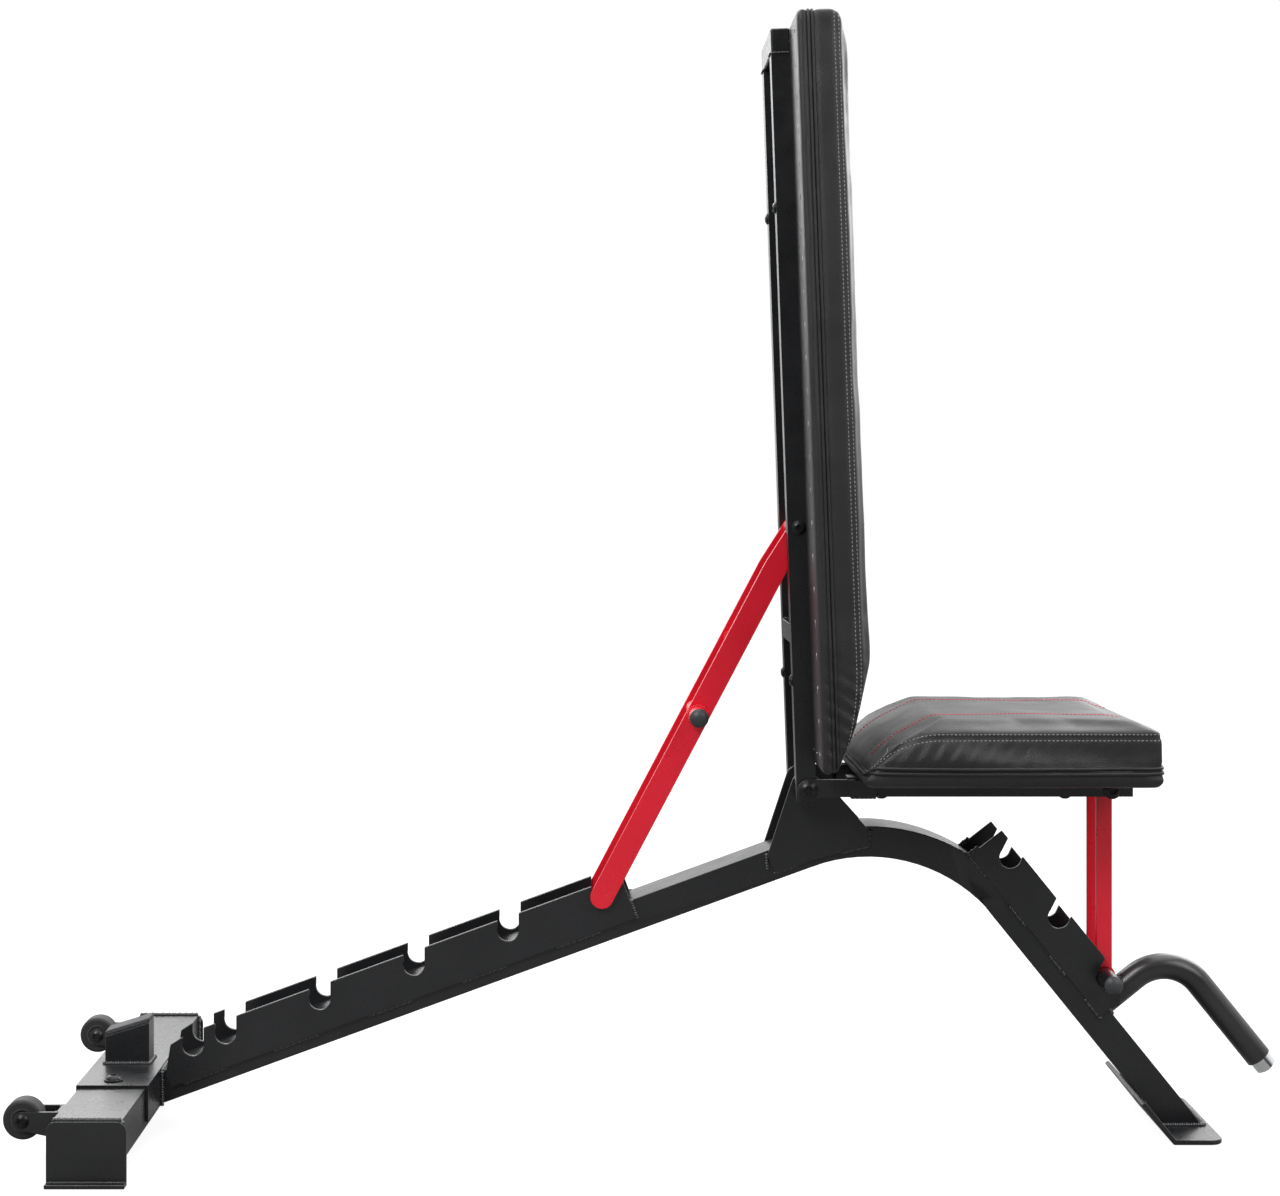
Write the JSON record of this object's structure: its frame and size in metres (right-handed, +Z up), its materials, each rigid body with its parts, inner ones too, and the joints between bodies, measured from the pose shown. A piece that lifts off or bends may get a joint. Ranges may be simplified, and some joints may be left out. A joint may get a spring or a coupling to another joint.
{
  "type": "adjustable weight bench",
  "caption": "Adjustable weight bench with a padded back and seat on a bent tube frame, notched adjustment plates, hinged struts and transport wheels.",
  "frame": {"origin": "middle of the footprint's length and width, on the floor", "axes": "+X towards the seat end, +Y across the bench to its left side when sitting facing +X, +Z up"},
  "size_m": [1.2923, 0.462, 1.1488],
  "materials": {
    "frame_black": "satin",
    "strut_red": "satin",
    "end_cap": "satin",
    "cushion_cover": "satin",
    "board": "matt",
    "bolt_black": "satin",
    "bush_steel": "satin",
    "tyre": "matt",
    "wheel_hub": "satin",
    "rest_rubber": "matt",
    "handle_grip": "satin",
    "handle_chrome": "polished"
  },
  "bodies": {
    "frame": {"main_tube": "frame_black", "ladder_plate_near": "frame_black", "ladder_plate_far": "frame_black", "tower_plate_near": "frame_black", "tower_plate_far": "frame_black", "rack_plate_near": "frame_black", "rack_plate_far": "frame_black", "rear_cross_tube": "frame_black", "rear_foot_plate_near": "frame_black", "rear_foot_plate_far": "frame_black", "rear_saddle": "frame_black", "saddle_bolts": "bolt_black", "rest_post": "frame_black", "rest_post_pad": "rest_rubber", "wheel_bracket_near": "frame_black", "wheel_bracket_far": "frame_black", "wheel_axle_bolts": "bolt_black", "front_foot_plate": "frame_black", "carry_handle_tube": "handle_chrome", "carry_handle_sleeve": "handle_grip", "carry_handle_cap": "handle_chrome", "main_hinge_bolt": "bolt_black", "main_hinge_bushes": "bush_steel"},
    "wheel_near": {"wheel_hub_near": "wheel_hub", "wheel_tyre_near": "tyre"},
    "wheel_far": {"wheel_hub_far": "wheel_hub", "wheel_tyre_far": "tyre"},
    "back": {"back_rail_near": "frame_black", "back_rail_far": "frame_black", "back_top_cross_tube": "frame_black", "back_lower_cross_tube": "frame_black", "back_board": "board", "back_cushion": "cushion_cover", "back_pad_bolts": "bolt_black", "strut_pivot_bolt": "bolt_black"},
    "back_strut": {"strut_bar_near": "strut_red", "strut_bar_far": "strut_red", "strut_top_sleeve": "strut_red", "strut_spacer": "strut_red", "strut_handle_tube": "strut_red", "strut_handle_caps": "end_cap"},
    "seat": {"seat_rail_near": "frame_black", "seat_rail_far": "frame_black", "seat_cross_tubes": "frame_black", "seat_hinge_ear_near": "frame_black", "seat_hinge_ear_far": "frame_black", "seat_board": "board", "seat_cushion": "cushion_cover", "seat_pad_bolts": "bolt_black", "seat_pivot_bolt": "bolt_black", "seat_pivot_spacers": "bush_steel"},
    "seat_strut": {"seat_strut_bar_near": "strut_red", "seat_strut_bar_far": "strut_red", "seat_strut_sleeve": "strut_red", "seat_handle_tube": "frame_black", "seat_handle_caps": "end_cap"}
  },
  "joints": [
    {"name": "back_recline", "type": "hinge", "parent": "frame", "child": "back", "pos_m": [0.15, 0, 0.358], "axis": [0, -1, 0], "range_deg": [0, 106.5]},
    {"name": "back_strut_swing", "type": "hinge", "parent": "back", "child": "back_strut", "pos_m": [0.14061, 0, 0.62684], "axis": [0, -1, 0], "range_deg": [-144, 0]},
    {"name": "seat_tilt", "type": "hinge", "parent": "frame", "child": "seat", "pos_m": [0.15, 0, 0.358], "axis": [0, -1, 0], "range_deg": [0, 20.5]},
    {"name": "seat_strut_swing", "type": "hinge", "parent": "seat", "child": "seat_strut", "pos_m": [0.462, 0, 0.358], "axis": [0, -1, 0], "range_deg": [-4, 0]},
    {"name": "wheel_near_spin", "type": "hinge", "parent": "frame", "child": "wheel_near", "pos_m": [-0.6266, -0.172, 0.0525], "axis": [0, 1, 0], "continuous": true},
    {"name": "wheel_far_spin", "type": "hinge", "parent": "frame", "child": "wheel_far", "pos_m": [-0.6266, 0.172, 0.0525], "axis": [0, 1, 0], "continuous": true}
  ],
  "couplings": [
    {"joint": "back_strut_swing", "follows": "back_recline", "ratio": -1.352},
    {"joint": "seat_strut_swing", "follows": "seat_tilt", "ratio": -0.19}
  ]
}
